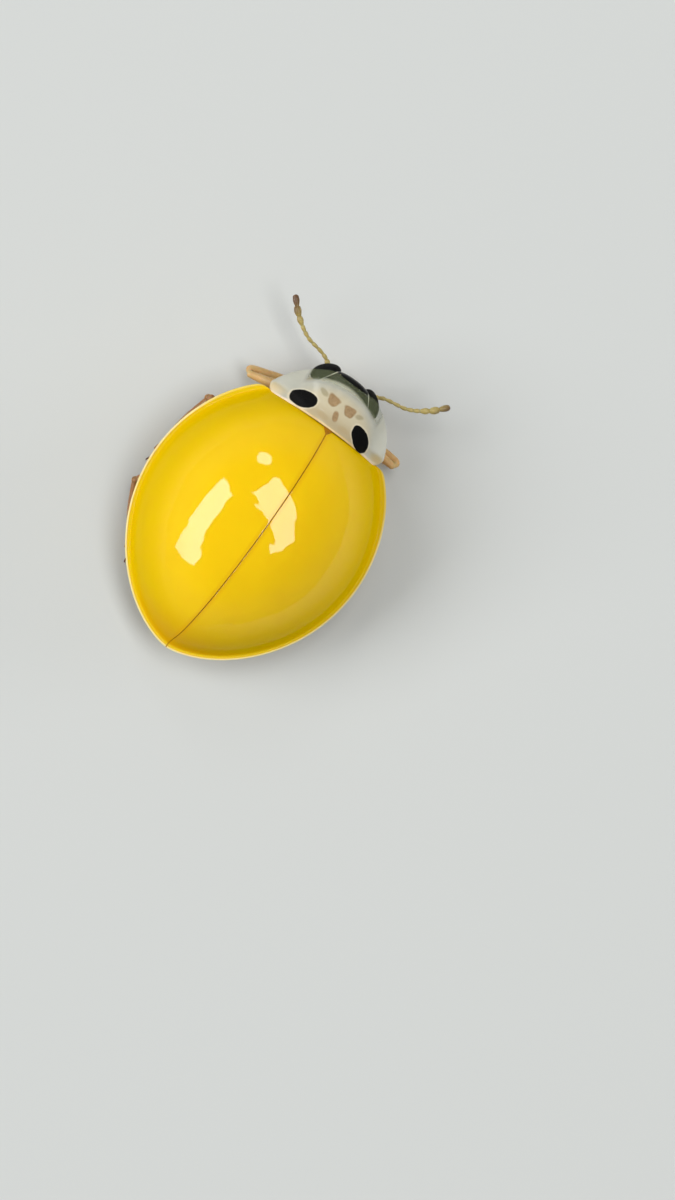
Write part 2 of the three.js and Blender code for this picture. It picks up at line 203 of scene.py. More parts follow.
def coat(place, **values):
    """Ends a material in the main shader; underscores in the names stand for spaces."""
    named = {key.replace("_", " "): value for key, value in values.items()}
    shader = place.node("ShaderNodeBsdfPrincipled", {}, named)
    tree = place.socket.id_data
    end = tree.nodes.new("ShaderNodeOutputMaterial")
    tree.links.new(shader.socket, end.inputs["Surface"])


surround = bpy.data.worlds.new("surround")
surround.use_nodes = True
sky = surround.node_tree
heading = Wire(sky.nodes.new("ShaderNodeTexCoord").outputs["Generated"])
upness = heading.node("ShaderNodeSeparateXYZ", {}, {0: heading}, 2)
rightness = heading.node("ShaderNodeSeparateXYZ", {}, {0: heading}, 0)
haze = upness.step(0.66, 0.0) * (rightness.step(0.8, 0.3) * 0.6 + 0.4)
haze = haze.tint((0.12, 0.126, 0.132, 1), (0.42, 0.43, 0.42, 1))
sky.links.new(haze.socket, sky.nodes["Background"].inputs["Color"])
bpy.context.scene.world = surround

FLOOR_HALF = 2
floor_finish, place = finish_named("floor_paper")
coat(
    place,
    Base_Color=(place.noise(30) * 0.06 + 0.5).tint(colour(199, 200, 196), colour(207, 208, 204)),
    Roughness=0.9,
)
floor_mesh = bpy.data.meshes.new("floor")
corners = [(x * FLOOR_HALF, y * FLOOR_HALF, 0) for x, y in ((-1, -1), (1, -1), (1, 1), (-1, 1))]
floor_mesh.from_pydata(corners, [], [(0, 1, 2, 3)])
floor_mesh.materials.append(floor_finish)
floor = bpy.data.objects.new("floor", floor_mesh)
bpy.context.scene.collection.objects.link(floor)


# ---------------------------------------------------------------------------
# Trunk. The underside is one tough tan skin from the front chest to the tail. Behind
# the chest plate it is ringed by the belly's plates, each lapping over the next.
# ---------------------------------------------------------------------------
HALF_WIDTH, BEHIND, AHEAD, TAIL_TAPER = 1.91, 2.41, 2.205, 1.22
RIM_UNDERSIDE = 0.66


def outline(angle, inset=0.0):
    """Where the wing cases' outline is, seen from above, at angles round the crown."""
    across, along = np.cos(angle), np.sin(angle)
    hind = along < 0
    power = np.where(hind, TAIL_TAPER, 1.0)
    x = (HALF_WIDTH - inset) * np.sign(across) * np.abs(across) ** power
    return x, along * (np.where(hind, BEHIND, AHEAD) - inset)


def smooth(value, start, end):
    """0 before start, 1 past end and smooth between them."""
    share = np.clip((np.asarray(value) - start) / (end - start), 0, 1)
    return share * share * (3 - 2 * share)


def lattice(rows, columns):
    """The faces between rows of points that each go right round."""
    faces = []
    for row in range(rows - 1):
        for column in range(columns):
            after = (column + 1) % columns
            low, high = row * columns, (row + 1) * columns
            faces.append((low + column, low + after, high + after, high + column))
    return faces


def lump(rings):
    """A closed form from rings of points, each end closed on its ring's middle."""
    rings = np.asarray(rings, float)
    rows, columns = rings.shape[:2]
    points = np.concatenate([rings.reshape(-1, 3), rings[[0, -1]].mean(1)])
    faces = lattice(rows, columns)
    start, end, last = rows * columns, rows * columns + 1, (rows - 1) * columns
    for column in range(columns):
        after = (column + 1) % columns
        faces.append((start, after, column))
        faces.append((end, last + column, last + after))
    return points, faces


def piece_of(name, forms, finish, nodes, marks=None, hairs=None):
    """One smooth piece from closed forms in millimetres. It rides on the root body in
    place of its nodes. Marks are numbers at its points that the finish reads."""
    points = np.concatenate([form[0] for form in forms])
    faces, first = [], 0
    for at, form_faces in forms:
        volume = 0.0
        for face in form_faces:
            for i in range(1, len(face) - 1):
                volume += np.dot(at[face[0]], np.cross(at[face[i]], at[face[i + 1]]))
        order = -1 if volume < 0 else 1
        faces += [tuple(first + i for i in face)[::order] for face in form_faces]
        first += len(at)
    mesh = bpy.data.meshes.new(name)
    mesh.from_pydata(((points + (0, ALONG, 0)) * MM).tolist(), [], faces)
    for mark, numbers in (marks or {}).items():
        attribute = mesh.attributes.new(mark, "FLOAT", "POINT")
        attribute.data.foreach_set("value", np.asarray(numbers, np.float32))
    mesh.shade_smooth()
    mesh.materials.append(finish)
    piece = bpy.data.objects.new(name, mesh)
    bpy.context.scene.collection.objects.link(piece)
    if hairs:
        haired(piece, **hairs)
    return settle(piece, nodes)


def settle(piece, nodes):
    """A finished piece rides on the root body and the nodes it replaces."""
    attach(piece, "root")
    if nodes:
        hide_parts(*nodes)
    return piece


TRUNK_INSET, TRUNK_TOP = 0.36, 0.95
PLATE_EDGES = (-0.42, -0.85, -1.18, -1.48, -1.76)
CHEST_HALF, CHEST_FRONT, CHEST_HIND = 0.72, 2.17, 1.62
TRUNK_HALF, TAIL_END, TAIL_START = HALF_WIDTH - TRUNK_INSET, -2.04, -1.72


def furrow(distance, width):
    """A furrow's share of its depth, by the distance from its line."""
    return np.exp(-((distance / width) ** 2))


def trunk_relief(x, y):
    """How far the underside stands out, in millimetres, at a place on it."""
    aside = np.abs(x)
    out = np.zeros_like(x)
    # Each belly plate's hind edge stands over the one behind it.
    for edge in PLATE_EDGES:
        behind = edge - 0.1 * (x / 1.4) ** 2 - y
        out -= 0.035 * np.exp(-np.maximum(behind, 0) / 0.1) * smooth(behind, -0.012, 0.012)
    # The chest's middle line, and the raised line that curves behind each hind hip.
    out -= 0.03 * furrow(x, 0.02) * smooth(y, 0.1, 0.3) * smooth(y, 1.5, 1.2)
    coxal_line = y + 0.33 + 0.12 * np.cos(aside * 3.2)
    out += 0.014 * furrow(coxal_line, 0.02) * smooth(aside, 1.3, 1.1)
    # The joins between the chest's plates: three across it, and one along each side.
    out -= 0.05 * furrow(y - 1.66, 0.04)
    out -= 0.045 * furrow(y - 0.62 - 0.08 * aside, 0.028) * smooth(aside, 0.1, 0.3)
    out -= 0.05 * furrow(y + 0.16 - 0.1 * x * x, 0.035) * smooth(aside, 0.02, 0.15)
    side_plates = smooth(y, -0.1, 0.05) * smooth(y, 1.5, 1.3)
    out -= 0.03 * furrow(aside - 0.86 - 0.12 * y, 0.022) * side_plates
    return out


rows = []
tail = TAIL_END + 0.3 * np.linspace(0, 1, 14) ** 2
for y in np.concatenate([tail, np.linspace(TAIL_START, CHEST_FRONT, 420)]):
    radius = BEHIND - TRUNK_INSET if y < 0 else AHEAD - TRUNK_INSET
    power = TAIL_TAPER if y < 0 else 1
    share = min(abs(y) / radius, 1)
    width = TRUNK_HALF * math.sqrt(max(1 - share**2, 0)) ** power
    chest = float(smooth(y, CHEST_HIND, CHEST_HIND + 0.12))
    chest_width = CHEST_HALF - 0.2 * max(y - 1.7, 0) ** 1.5
    width = max(width * (1 - chest) + chest_width * chest, 0.03)
    around = np.linspace(0, 2 * math.pi, 150, endpoint=False)
    x = width * np.sign(np.cos(around)) * np.abs(np.cos(around)) ** 0.75
    inner = np.hypot(x / TRUNK_HALF, y / radius)
    belly = RIM_UNDERSIDE - 0.1 * np.clip(1 - inner**2, 0, 1)
    chest_low = 0.6 + 0.12 * (np.abs(x) / CHEST_HALF) ** 2 + 0.1 * max(y - 1.95, 0)
    low = belly * (1 - chest) + chest_low * chest - trunk_relief(x, np.full_like(x, y))
    middle = RIM_UNDERSIDE + 0.06
    up = np.sin(around)
    underside = middle + (middle - low) * -np.abs(up) ** 0.5
    z = np.where(up < 0, underside, middle + (TRUNK_TOP - middle) * up)
    rows.append(np.stack([x, np.full_like(x, y), z], 1))


def hair_tree():
    """A node tree that plants short tapered hairs on a piece, leaning one way."""
    tree = bpy.data.node_groups.new("short_hairs", "GeometryNodeTree")
    named = {}
    for name, kind in (
        ("Geometry", "Geometry"), ("Density", "Float"), ("Length", "Float"), ("Radius", "Float"),
        ("Lean", "Vector"), ("Seed", "Int"), ("Finish", "Material"),
    ):
        socket = tree.interface.new_socket(name, in_out="INPUT", socket_type=f"NodeSocket{kind}")
        named[name] = socket.identifier
    tree.interface.new_socket("Geometry", in_out="OUTPUT", socket_type="NodeSocketGeometry")
    made = {
        key: tree.nodes.new(kind)
        for key, kind in (
            ("given", "NodeGroupInput"), ("roots", "GeometryNodeDistributePointsOnFaces"),
            ("hair", "GeometryNodeMeshCone"), ("aim", "ShaderNodeVectorMath"),
            ("turn", "FunctionNodeAlignRotationToVector"), ("vary", "FunctionNodeRandomValue"),
            ("plant", "GeometryNodeInstanceOnPoints"), ("solid", "GeometryNodeRealizeInstances"),
            ("smooth", "GeometryNodeSetShadeSmooth"), ("paint", "GeometryNodeSetMaterial"),
            ("both", "GeometryNodeJoinGeometry"), ("result", "NodeGroupOutput"),
        )
    }
    made["hair"].fill_type = "NGON"
    made["hair"].inputs["Vertices"].default_value = 4
    made["turn"].axis = "Z"
    made["vary"].inputs[2].default_value, made["vary"].inputs[3].default_value = 0.6, 1.15
    for (start, out), (end, into) in (
        (("given", "Geometry"), ("roots", "Mesh")), (("given", "Density"), ("roots", "Density")),
        (("given", "Seed"), ("roots", "Seed")), (("given", "Radius"), ("hair", "Radius Bottom")),
        (("given", "Length"), ("hair", "Depth")), (("roots", "Normal"), ("aim", 0)),
        (("given", "Lean"), ("aim", 1)), (("aim", 0), ("turn", "Vector")),
        (("roots", "Points"), ("plant", "Points")), (("hair", "Mesh"), ("plant", "Instance")),
        (("turn", 0), ("plant", "Rotation")), (("vary", 1), ("plant", "Scale")),
        (("plant", 0), ("solid", 0)), (("solid", 0), ("smooth", 0)), (("smooth", 0), ("paint", 0)),
        (("given", "Finish"), ("paint", "Material")), (("given", "Geometry"), ("both", 0)),
        (("paint", 0), ("both", 0)), (("both", 0), ("result", 0)),
    ):
        tree.links.new(made[start].outputs[out], made[end].inputs[into])
    return tree, named


def grown(piece, tree, values):
    """The piece's mesh as the node tree makes it, as a plain mesh with no modifier."""
    modifier = piece.modifiers.new(tree.name, "NODES")
    modifier.node_group = tree
    for socket, value in values.items():
        modifier[socket] = value
    evaluated = piece.evaluated_get(bpy.context.evaluated_depsgraph_get())
    mesh = bpy.data.meshes.new_from_object(evaluated)
    piece.modifiers.clear()
    piece.data = mesh
    return piece


short_hairs, hair_inputs = hair_tree()
hair_finish, place = finish_named("hair_pale")
coat(
    place,
    Base_Color=(place.noise(0.1) + 0.5).tint(colour(246, 230, 186), colour(214, 184, 128)),
    Roughness=0.4 + place.noise(0.05) * 0.2,
)


def haired(piece, per_square_mm, length, lean, seed, radius=0.0022):
    """Plants that many short hairs on a piece before it rides on its body."""
    values = {"Density": per_square_mm / MM**2, "Length": length * MM, "Radius": radius * MM,
              "Lean": lean, "Seed": seed, "Finish": hair_finish}
    return grown(piece, short_hairs, {hair_inputs[key]: value for key, value in values.items()})


skin_finish, place = finish_named("trunk_skin")
across, along = abs(place.part(0)), place.part(1) - ALONG
mottle = place.noise(0.5, 4)
dark = (across.step(1.15, 0.2) * along.step(-0.25, 0.3) * 0.75 + mottle * 0.5).step(0.1, 0.9)
pores = place.cells(0.055).step(0.0, 0.45)
coat(
    place,
    Base_Color=dark.tint(colour(214, 174, 104), colour(148, 98, 50)),
    Roughness=0.34 + mottle * 0.15,
    Normal=(pores * 0.7 + place.noise(0.02, 3)).bump(0.004),
    Subsurface_Weight=0.35,
    Subsurface_Radius=(1.0, 0.55, 0.25),
    Subsurface_Scale=0.1 * MM,
)
piece_of(
    "trunk_skin", [lump(rows)], skin_finish, ["thorax", "abdomen", "prothorax"],
    hairs=dict(per_square_mm=55, length=0.07, lean=(0, -1.6, -0.4), seed=3),
)


# ---------------------------------------------------------------------------
# Legs. Six tan legs: a ball-like hip, a short flat thigh, a thin shin and a foot of
# four joints, whose second is a two-lobed hairy sole and whose last ends in two claws.
# ---------------------------------------------------------------------------
def spline(knots, count):
    """Points spaced along a smooth curve through the knots."""
    knots = np.asarray(knots, float)
    ends = np.concatenate([[2 * knots[0] - knots[1]], knots, [2 * knots[-1] - knots[-2]]])
    points = []
    for t in np.linspace(0, len(knots) - 1, count):
        i = min(int(t), len(knots) - 2)
        f, (a, b, c, d) = t - i, ends[i : i + 4]
        points.append(
            0.5 * (2 * b + (c - a) * f + (2 * a - 5 * b + 4 * c - d) * f * f
                   + (3 * b - a - 3 * c + d) * f**3)
        )
    return np.array(points)


def limb(knots, widths, heights=None, sides=20, count=36):
    """A closed rounded limb: its half width and half height are given along its path."""
    path = spline(knots, count)
    tangent = np.gradient(path, axis=0)
    tangent /= np.linalg.norm(tangent, axis=1)[:, None]
    side = np.cross(tangent, (0, 0, 1))
    side /= np.linalg.norm(side, axis=1)[:, None]
    top = np.cross(side, tangent)
    length = np.linspace(0, 1, count)
    marks = np.linspace(0, 1, len(widths))
    wide = np.interp(length, marks, widths)
    tall = wide if heights is None else np.interp(length, np.linspace(0, 1, len(heights)), heights)
    kernel = np.array([0.25, 0.5, 0.25])
    for _ in range(3):
        wide = np.convolve(np.pad(wide, 1, "edge"), kernel, "valid")
        tall = np.convolve(np.pad(tall, 1, "edge"), kernel, "valid")
    angle = np.linspace(0, 2 * math.pi, sides, endpoint=False)
    ring = np.cos(angle)[None, :, None] * side[:, None] * wide[:, None, None]
    ring = ring + np.sin(angle)[None, :, None] * top[:, None] * tall[:, None, None]
    body = path[:, None] + ring
    caps = []
    for end, way in ((0, -1), (-1, 1)):
        cap = [
            path[end] + ring[end] * math.cos(a) + way * tangent[end] * wide[end] * 0.8 * math.sin(a)
            for a in np.radians([25, 50, 70, 84])
        ]
        caps.append(cap[::-1] if way < 0 else cap)
    return lump([*caps[0], *body, *caps[1]])


# Places on the right leg of each pair. Its shift moves both legs' knees to one side, and the
# right one's ahead as the left one's goes back; stout is how full the thigh is from above.
LEGS = {
    "front": dict(
        coxa=(0.27, 2.0, 0.58), root=(0.3, 1.99, 0.47), knee=(1.35, 1.835, 0.46),
        bend=(1.32, 1.93, 0.37), ankle=(0.76, 2.04, 0.13), tip=(0.4, 2.34, 0.0),
        shift=(-0.045, 0.07), stout=0.78,
    ),
    "middle": dict(
        coxa=(0.42, 0.85, 0.58), root=(0.45, 0.87, 0.42), knee=(1.65, 1.12, 0.43),
        bend=(1.63, 1.06, 0.36), ankle=(1.77, 0.24, 0.13), tip=(1.83, -0.27, 0.0),
        shift=(-0.02, 0), stout=0.9,
    ),
    "hind": dict(
        coxa=(0.5, 0.02, 0.58), root=(0.52, 0.0, 0.42), knee=(1.81, -0.55, 0.43),
        bend=(1.79, -0.62, 0.36), ankle=(1.42, -1.26, 0.13), tip=(1.16, -1.74, 0.0),
        shift=(-0.03, 0), stout=0.9,
    ),
}
JOINTS = ("coxa", "root", "knee", "bend", "ankle", "tip")
SIDES = (("left", -1), ("right", 1))


def leg_forms(leg, side):
    """The closed forms of one leg from its hip to its foot, and a function that gives a
    place on the foot by its share of the foot's length, its height and how far it is aside."""
    coxa, root, knee, bend, ankle, tip = (
        np.array([side * leg[joint][0], *leg[joint][1:]]) for joint in JOINTS
    )
    aside, ahead = leg["shift"]
    knee, bend = (point + (aside, side * ahead, 0) for point in (knee, bend))
    forms = []
    out = (knee - root) / np.linalg.norm(knee - root)
    hip = np.array([side * 0.1, 0, 0])
    forms.append(limb([coxa - hip * 1.2, coxa, coxa + hip * 1.2], [0.1, 0.16, 0.15, 0.09]))
    forms.append(limb([root - out * 0.02 + (0, 0, 0.03), root + out * 0.16], [0.09, 0.11, 0.08]))
    thigh_end = knee - out * 0.03
    forms.append(
        limb([root + out * 0.12, (root + thigh_end) / 2 + (0, 0, 0.012), thigh_end],
             leg["stout"] * np.array([0.06, 0.12, 0.14, 0.135, 0.115, 0.09, 0.07]),
             [0.05, 0.09, 0.11, 0.11, 0.095, 0.08, 0.055])
    )
    shin_start = knee - out * 0.05
    down = (ankle - bend) / np.linalg.norm(ankle - bend)
    shin = [shin_start, (knee + bend) / 2 + out * 0.02, bend, (bend + ankle) / 2 + out * 0.02]
    forms.append(
        limb([*shin, ankle - down * 0.01],
             [0.034, 0.044, 0.05, 0.06, 0.062, 0.066, 0.072, 0.078, 0.07],
             [0.034, 0.044, 0.05, 0.055, 0.06, 0.062, 0.066, 0.07, 0.06], count=48)
    )
    forward = np.array([tip[0] - ankle[0], tip[1] - ankle[1], 0.0])
    reach = np.linalg.norm(forward)
    forward /= reach
    beside = np.array([forward[1], -forward[0], 0.0])

    def at(along, height, off=0.0):
        return ankle * (1, 1, 0) + forward * along * reach + beside * off + (0, 0, height)

    forms.append(
        limb([at(0.0, 0.11), at(0.13, 0.07), at(0.24, 0.045)],
             [0.04, 0.052, 0.062, 0.04], [0.045, 0.04, 0.035, 0.02], count=20, sides=16)
    )
    for lobe in (-1, 1):
        forms.append(
            limb([at(0.2, 0.05), at(0.34, 0.034, 0.02 * lobe), at(0.5, 0.026, 0.045 * lobe)],
                 [0.03, 0.045, 0.042, 0.026], [0.025, 0.03, 0.024, 0.014], count=20, sides=16)
        )
    forms.append(
        limb([at(0.3, 0.06), at(0.45, 0.085), at(0.62, 0.085), at(0.8, 0.06)],
             [0.02, 0.024, 0.027, 0.033, 0.036], count=24, sides=14)
    )
    return forms, at


leg_finish, place = finish_named("leg_skin")
mottle = place.noise(0.16, 3)
# Painted shade: the middle and hind legs are painted browner, as if in the shade under the wing cases.
hind_legs_painted_shade = (place.part(1) - ALONG + mottle).step(1.6, 1.1) * 0.55
outer = (abs(place.part(0)) + mottle * 0.4).step(1.3, 1.75) * 0.35
tan = (mottle * 1.6 + 0.5).tint(colour(214, 180, 122), colour(190, 148, 92))
coat(
    place,
    Base_Color=(hind_legs_painted_shade + outer).tint(tan, colour(146, 96, 50)),
    Roughness=0.36 + mottle * 0.2,
    Normal=place.noise(0.018, 3).bump(0.004),
    Subsurface_Weight=0.5,
    Subsurface_Radius=(1.0, 0.5, 0.25),
    Subsurface_Scale=0.09 * MM,
)
claw_finish, place = finish_named("claw_horn")
coat(
    place,
    Base_Color=(place.noise(0.05) + 0.5).tint(colour(116, 62, 26), colour(74, 38, 16)),
    Roughness=0.25 + place.noise(0.02) * 0.2,
    Subsurface_Weight=0.2,
    Subsurface_Scale=0.03 * MM,
)
claws = []
for pair, leg in LEGS.items():
    for side_name, side in SIDES:
        forms, at = leg_forms(leg, side)
        nodes = [f"leg_{pair}_{side_name}_{part}" for part in ("coxa", "femur", "tibia", "tarsus")]
        hairs = dict(per_square_mm=170, length=0.06, lean=(side * 0.5, -0.3, -0.9), seed=11)
        piece_of(f"leg_{pair}_{side_name}", forms, leg_finish, nodes, hairs=hairs)
        for way in (-1, 1):
            claws.append(
                limb([at(0.78, 0.062, 0.012 * way), at(0.86, 0.06, 0.032 * way),
                      at(0.93, 0.035, 0.042 * way), at(0.95, 0.008, 0.036 * way)],
                     [0.014, 0.013, 0.009, 0.004], count=14, sides=10)
            )
            claws.append(
                limb([at(0.82, 0.05, 0.018 * way), at(0.86, 0.035, 0.02 * way)],
                     [0.012, 0.005], count=8, sides=8)
            )
piece_of("claws", claws, claw_finish, [])


# ---------------------------------------------------------------------------
# Head. A rounded capsule tucked under the front shield: pale, with a black band over
# its crown, a short upper lip and two jaws, and the mouth's feelers with hatchet ends.
# ---------------------------------------------------------------------------
HEAD_ASIDE = -0.045
HEAD_LEVELS = [  # height, half width, hind face, front face
    (0.44, 0.2, 2.24, 2.46), (0.52, 0.3, 2.14, 2.53), (0.66, 0.42, 2.06, 2.59),
    (0.82, 0.48, 2.02, 2.62), (0.95, 0.47, 2.02, 2.628), (1.05, 0.41, 2.04, 2.6),
    (1.11, 0.28, 2.1, 2.51),
]


def mirrored(knots, side):
    """Places on the head's left or right; the head is held a little to its left."""
    return [(side * x + HEAD_ASIDE, y, z) for x, y, z in knots]


def levels_form(levels, count, sides, squareness):
    """A rounded lump from level sections, with smoother ones worked out between them."""
    levels = np.asarray(levels, float)
    rise = spline(levels[:, :3], count)
    front = spline(levels[:, [0, 1, 3]], count)[:, 2]
    angle = np.linspace(0, 2 * math.pi, sides, endpoint=False)
    c, s = np.cos(angle), np.sin(angle)
    c = np.sign(c) * np.abs(c) ** squareness
    s = np.sign(s) * np.abs(s) ** squareness
    rings = []
    for (z, half, hind), ahead in zip(rise, front):
        middle, deep = (hind + ahead) / 2, (ahead - hind) / 2
        rings.append(np.stack([half * c + HEAD_ASIDE, middle + deep * s, np.full(sides, z)], 1))

    def shrunk(ring, share, rise):
        """A ring drawn in about its own middle, and lifted."""
        return (ring - ring.mean(0)) * share + ring.mean(0) + (0, 0, rise)

    under = [shrunk(rings[0], 0.55, -0.014), shrunk(rings[0], 0.85, -0.008)]
    over = [shrunk(rings[-1], 0.85, 0.016), shrunk(rings[-1], 0.5, 0.028)]
    return lump([*under, *rings, *over])


head_finish, place = finish_named("head_capsule")
across, along, up = abs(place.part(0) - HEAD_ASIDE), place.part(1) - ALONG, place.part(2)
wander = place.noise(0.12, 2) * 0.03
arc = along + across * across * 0.6 + wander * 0.4
ends = across + (along - 2.47) * 0.65
band = arc.step(2.42, 2.49) * ends.step(0.356, 0.34) * (up + wander * 0.6).step(0.955, 0.975)
face_tone = up.step(0.5, 0.8).tint(colour(206, 164, 96), colour(240, 236, 214))
coat(
    place,
    Base_Color=band.tint(face_tone, colour(10, 9, 8)),
    Roughness=0.3 + place.noise(0.08) * 0.2,
    Specular_IOR_Level=0.25,
    Normal=place.cells(0.04).step(0.0, 0.4).bump(0.003),
    Subsurface_Weight=0.35,
    Subsurface_Radius=(1.0, 0.7, 0.45),
    Subsurface_Scale=0.06 * MM,
)
piece_of(
    "head_capsule", [levels_form(HEAD_LEVELS, 44, 96, 0.85)], head_finish, ["head"],
    hairs=dict(per_square_mm=45, length=0.035, lean=(0, 0.2, -1.2), seed=5),
)

LIP_LEVELS = [(0.36, 0.1, 2.38, 2.46), (0.42, 0.15, 2.36, 2.5), (0.5, 0.16, 2.38, 2.545)]
lip_finish, place = finish_named("mouth_horn")
coat(
    place,
    Base_Color=(place.noise(0.06, 3) + 0.5).tint(colour(206, 152, 84), colour(160, 100, 48)),
    Roughness=0.3 + place.noise(0.04) * 0.2,
    Subsurface_Weight=0.3,
    Subsurface_Scale=0.06 * MM,
)
piece_of("upper_lip", [levels_form(LIP_LEVELS, 16, 48, 0.8)], lip_finish, ["labrum"])
for side_name, side in SIDES:
    knots = mirrored([(0.1, 2.36, 0.44), (0.19, 2.42, 0.4), (0.25, 2.45, 0.385)], side)
    hatchet = mirrored([(0.25, 2.45, 0.385), (0.32, 2.5, 0.36), (0.37, 2.53, 0.335)], side)
    jaw = mirrored([(0.11, 2.37, 0.42), (0.1, 2.44, 0.385), (0.03, 2.49, 0.38)], side)
    piece_of(
        f"palp_{side_name}",
        [limb(knots, [0.03, 0.034, 0.026, 0.036, 0.028, 0.03], count=24, sides=14),
         limb(hatchet, [0.028, 0.05, 0.075, 0.078], [0.026, 0.034, 0.03, 0.022], count=20, sides=20)],
        lip_finish, [f"palp_{side_name}"],
    )
    piece_of(
        f"jaw_{side_name}", [limb(jaw, [0.05, 0.04, 0.014], count=20, sides=14)],
        claw_finish, [],
    )


# ---------------------------------------------------------------------------
# Eyes. Two large black compound eyes, each a long bean set aslant beside the head and
# made of some thousand small round lenses.
# ---------------------------------------------------------------------------
EYE_CENTRE, EYE_RADII, EYE_TURN = (0.42, 2.455, 0.86), (0.14, 0.24, 0.21), math.pi / 4
LENS_RADIUS = 0.0088


def lens_tree():
    """A node tree that sets a small lens on each point of a mesh."""
    tree = bpy.data.node_groups.new("eye_lenses", "GeometryNodeTree")
    sockets = tree.interface
    sockets.new_socket("Geometry", in_out="INPUT", socket_type="NodeSocketGeometry")
    radius = sockets.new_socket("Lens Radius", in_out="INPUT", socket_type="NodeSocketFloat")
    finish = sockets.new_socket("Finish", in_out="INPUT", socket_type="NodeSocketMaterial")
    sockets.new_socket("Geometry", in_out="OUTPUT", socket_type="NodeSocketGeometry")
    source = tree.nodes.new("NodeGroupInput")
    result = tree.nodes.new("NodeGroupOutput")
    ball = tree.nodes.new("GeometryNodeMeshUVSphere")
    ball.inputs["Segments"].default_value, ball.inputs["Rings"].default_value = 7, 5
    normal = tree.nodes.new("GeometryNodeInputNormal")
    turn = tree.nodes.new("FunctionNodeAlignRotationToVector")
    turn.axis = "Z"
    points = tree.nodes.new("GeometryNodeInstanceOnPoints")
    solid = tree.nodes.new("GeometryNodeRealizeInstances")
    both = tree.nodes.new("GeometryNodeJoinGeometry")
    shade = tree.nodes.new("GeometryNodeSetShadeSmooth")
    paint = tree.nodes.new("GeometryNodeSetMaterial")
    for start, end in (
        (source.outputs["Lens Radius"], ball.inputs["Radius"]),
        (source.outputs["Geometry"], points.inputs["Points"]),
        (ball.outputs["Mesh"], points.inputs["Instance"]),
        (normal.outputs[0], turn.inputs["Vector"]),
        (turn.outputs[0], points.inputs["Rotation"]),
        (source.outputs["Geometry"], both.inputs[0]),
        (points.outputs[0], both.inputs[0]),
        (both.outputs[0], solid.inputs[0]),
        (solid.outputs[0], shade.inputs[0]),
        (shade.outputs[0], paint.inputs[0]),
        (source.outputs["Finish"], paint.inputs["Material"]),
        (paint.outputs[0], result.inputs[0]),
    ):
        tree.links.new(start, end)
    return tree, {"radius": radius.identifier, "finish": finish.identifier}


eye_finish, place = finish_named("eye_black")
coat(
    place,
    Base_Color=(place.noise(0.1) + 0.5).tint(colour(7, 6, 5), colour(14, 12, 10)),
    Roughness=0.26 + place.noise(0.05) * 0.08,
    Specular_IOR_Level=0.13,
    Coat_Weight=0.05,
    Coat_Roughness=0.08,
)
lenses, sockets = lens_tree()
for side_name, side in SIDES:
    bpy.ops.mesh.primitive_ico_sphere_add(subdivisions=5, radius=1)
    eye = bpy.context.object
    eye.name = f"eye_{side_name}_lenses"
    stretch = Matrix.Diagonal((*[r - LENS_RADIUS for r in EYE_RADII], 1))
    centre = Vector((side * EYE_CENTRE[0] + HEAD_ASIDE, EYE_CENTRE[1] + ALONG, EYE_CENTRE[2]))
    eye.data.transform(
        Matrix.Scale(MM, 4) @ Matrix.Translation(centre)
        @ Matrix.Rotation(side * EYE_TURN, 4, "Z") @ stretch
    )
    grown(eye, lenses, {sockets["radius"]: LENS_RADIUS * MM, sockets["finish"]: eye_finish})
    settle(eye, [f"eye_{side_name}"])


# ---------------------------------------------------------------------------
# Feelers. Each antenna has eleven joints: a stout first, a round second, six slender
# ones and a club of three, olive yellow with a browner tip.
# ---------------------------------------------------------------------------
ANTENNA_PATH = [
    (0.3, 2.48, 0.6), (0.56, 2.66, 0.65), (0.95, 2.74, 0.75), (1.25, 2.92, 0.76), (1.47, 3.14, 0.72),
]
PATH_POINTS, FIRST_OF_CLUB = 200, 8
JOINT_ENDS = [0, 0.13, 0.2, 0.28, 0.36, 0.43, 0.5, 0.57, 0.64, 0.74, 0.86, 1.0]
JOINT_RADII = [0.05, 0.043, 0.033, 0.031, 0.031, 0.032, 0.033, 0.035, 0.047, 0.056, 0.05]

feeler_finish, place = finish_named("feeler_skin")
tip = abs(place.part(0)).step(1.2, 1.5)
tone = (place.noise(0.08) + 0.5).tint(colour(190, 172, 104), colour(154, 136, 78))
coat(
    place,
    Base_Color=tip.tint(tone, colour(100, 70, 42)),
    Roughness=0.42 + place.noise(0.03) * 0.2,
    Subsurface_Weight=0.4,
    Subsurface_Radius=(1.0, 0.7, 0.3),
    Subsurface_Scale=0.05 * MM,
)
for side_name, side in SIDES:
    path = spline(mirrored(ANTENNA_PATH, side), PATH_POINTS)
    joints = []
    for index, radius in enumerate(JOINT_RADII):
        start, end = (int((PATH_POINTS - 1) * share) for share in JOINT_ENDS[index : index + 2])
        knots = path[[start, (start + end) // 2, max(end - 2, start + 2)]]
        shape = [0.62, 0.86, 0.96, 1.04, 0.9]
        if index >= FIRST_OF_CLUB:
            shape = [0.45, 0.8, 1.0, 1.08, 0.92]
        joints.append(limb(knots, [radius * s for s in shape], count=16, sides=16))
    piece_of(
        f"antenna_{side_name}_joints", joints, feeler_finish, [f"antenna_{side_name}"],
        hairs=dict(per_square_mm=420, length=0.032, lean=(side * 1.1, 0.7, 0), seed=7, radius=0.0016),
    )


# ---------------------------------------------------------------------------
# Wing cases. Two hard domed shells that meet along the seam of the back, clear glossy
# yellow, with a narrow flattened margin round the outside that turns under at the edge.
# ---------------------------------------------------------------------------
CROWN, GUTTER, SHOULDER, FALL = 2.26, 0.75, 2.2, 0.62
RIM_WIDTH, SHOULDER_RIM, GUTTER_BLUR = 0.125, 0.03, 0.042
SEAM_HALF, SEAM_ROUND, WALL = 0.0025, 0.01, 0.12
CASE_FRONT, CORNER_EASE = 1.752, 0.028
